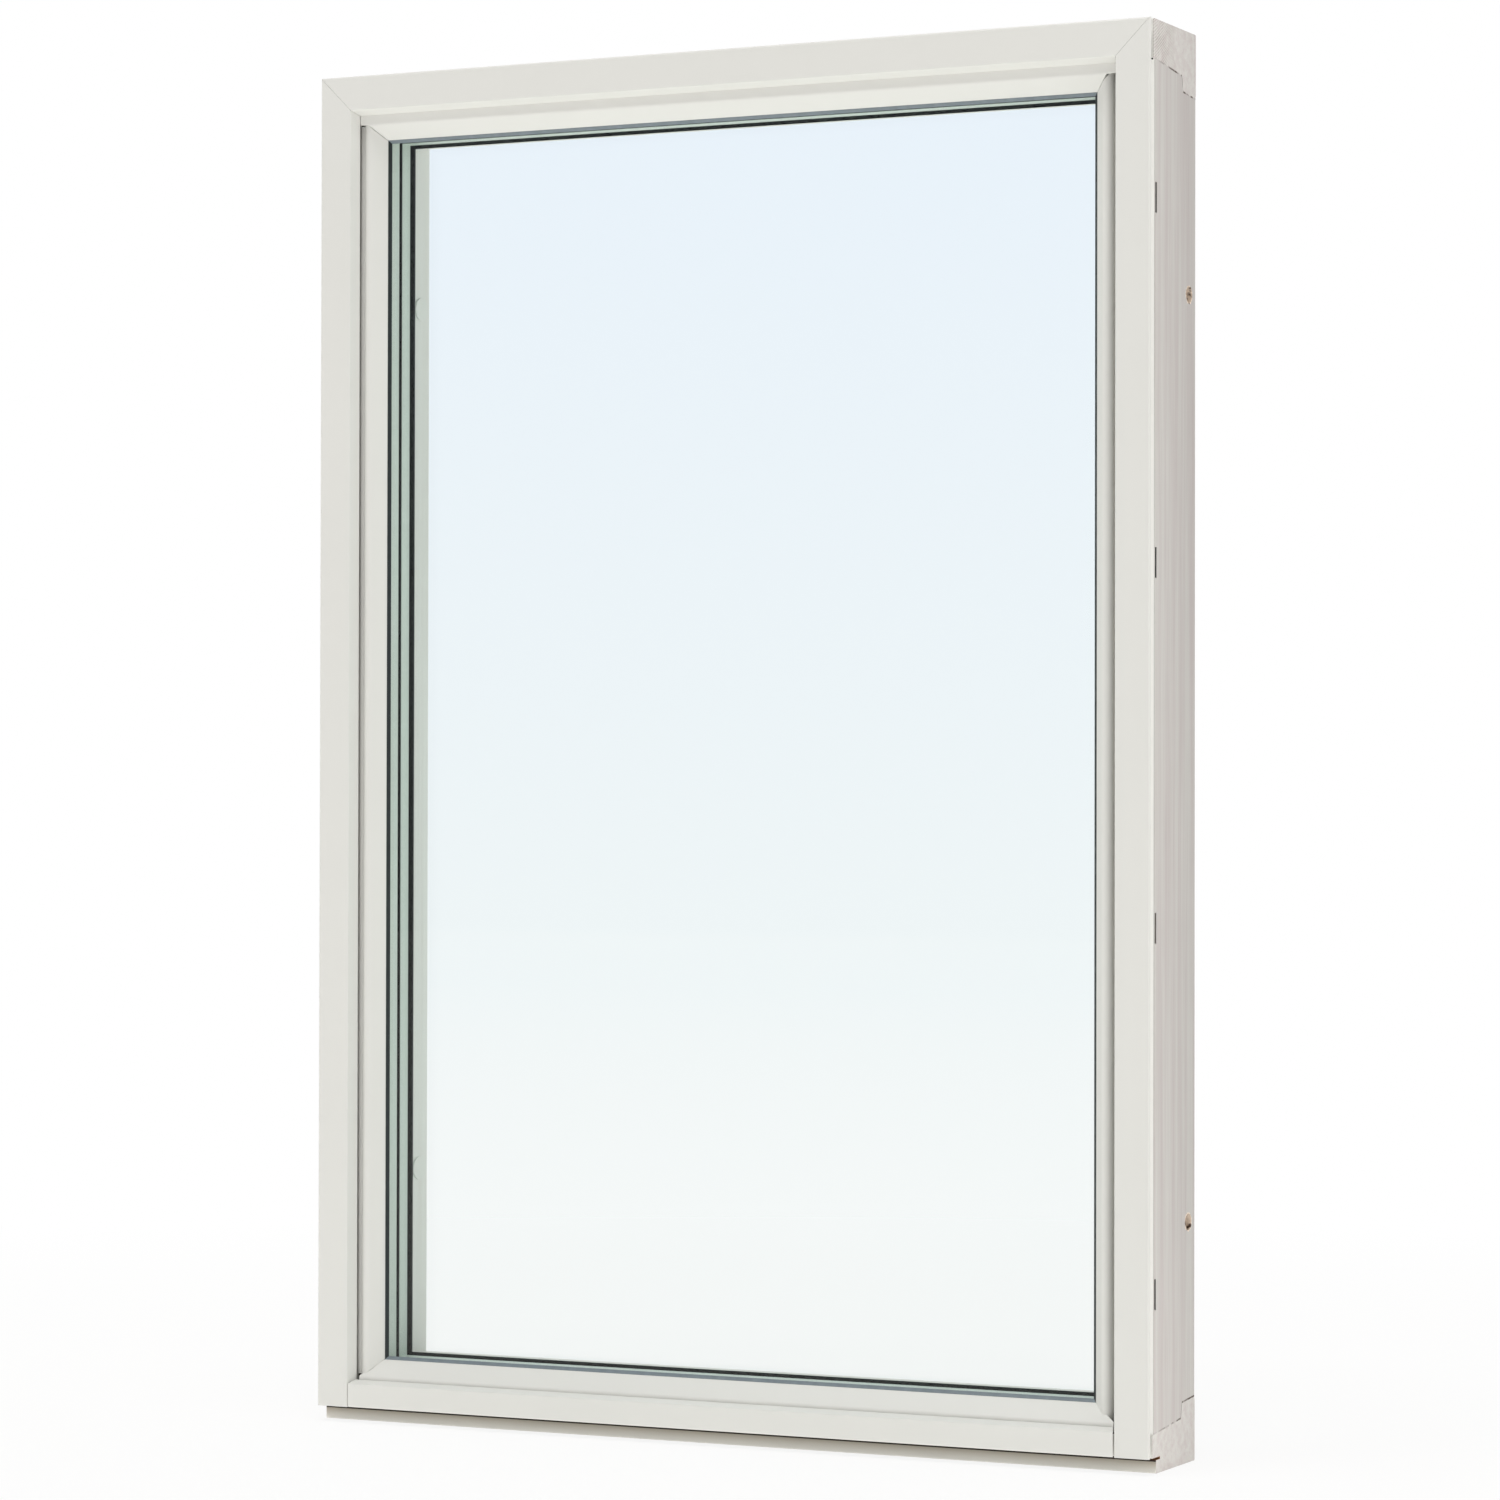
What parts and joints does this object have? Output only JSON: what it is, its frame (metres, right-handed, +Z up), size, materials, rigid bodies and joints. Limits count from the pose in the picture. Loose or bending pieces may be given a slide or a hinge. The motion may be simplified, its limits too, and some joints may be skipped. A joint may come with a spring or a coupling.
{
  "type": "fixed picture window",
  "caption": "Fixed picture window: painted timber frame with aluminium cladding outside, sloped glazing beads and a sealed triple-glazed unit; nothing opens.",
  "frame": {"origin": "centre of the frame's box in plan, on the level of the sill's underside", "axes": "+X to the right seen from outdoors, +Y from outdoors into the room, +Z up the jambs"},
  "size_m": [0.78, 0.105, 1.18],
  "materials": {
    "painted_pine": "matt white paint on pine",
    "coated_aluminium": "off-white powder coat, satin",
    "grey_rubber": "matt",
    "black_rubber": "matt",
    "spacer_bar": "matt",
    "clear_glass": "clear float glass",
    "nylon": "moulded",
    "block_plastic": "moulded",
    "cap_plastic": "moulded"
  },
  "bodies": {
    "root": {"frame_head": "painted_pine", "frame_sill": "painted_pine", "frame_left": "painted_pine", "frame_right": "painted_pine", "cladding_head": "coated_aluminium", "cladding_sill": "coated_aluminium", "cladding_left": "coated_aluminium", "cladding_right": "coated_aluminium", "bead_head": "coated_aluminium", "bead_sill": "coated_aluminium", "bead_left": "coated_aluminium", "bead_right": "coated_aluminium", "outer_gasket_head": "grey_rubber", "outer_gasket_sill": "grey_rubber", "outer_gasket_left": "grey_rubber", "outer_gasket_right": "grey_rubber", "inner_gasket_head": "black_rubber", "inner_gasket_sill": "black_rubber", "inner_gasket_left": "black_rubber", "inner_gasket_right": "black_rubber", "spacer_head": "spacer_bar", "spacer_sill": "spacer_bar", "spacer_left": "spacer_bar", "spacer_right": "spacer_bar", "edge_seal_head": "black_rubber", "edge_seal_sill": "black_rubber", "edge_seal_left": "black_rubber", "edge_seal_right": "black_rubber", "clips_head": "nylon", "clips_sill": "nylon", "clips_left": "nylon", "clips_right": "nylon", "glass_outer": "clear_glass", "glass_middle": "clear_glass", "glass_inner": "clear_glass", "setting_blocks": "block_plastic", "fixing_caps_left": "cap_plastic", "fixing_caps_right": "cap_plastic"}
  },
  "joints": []
}
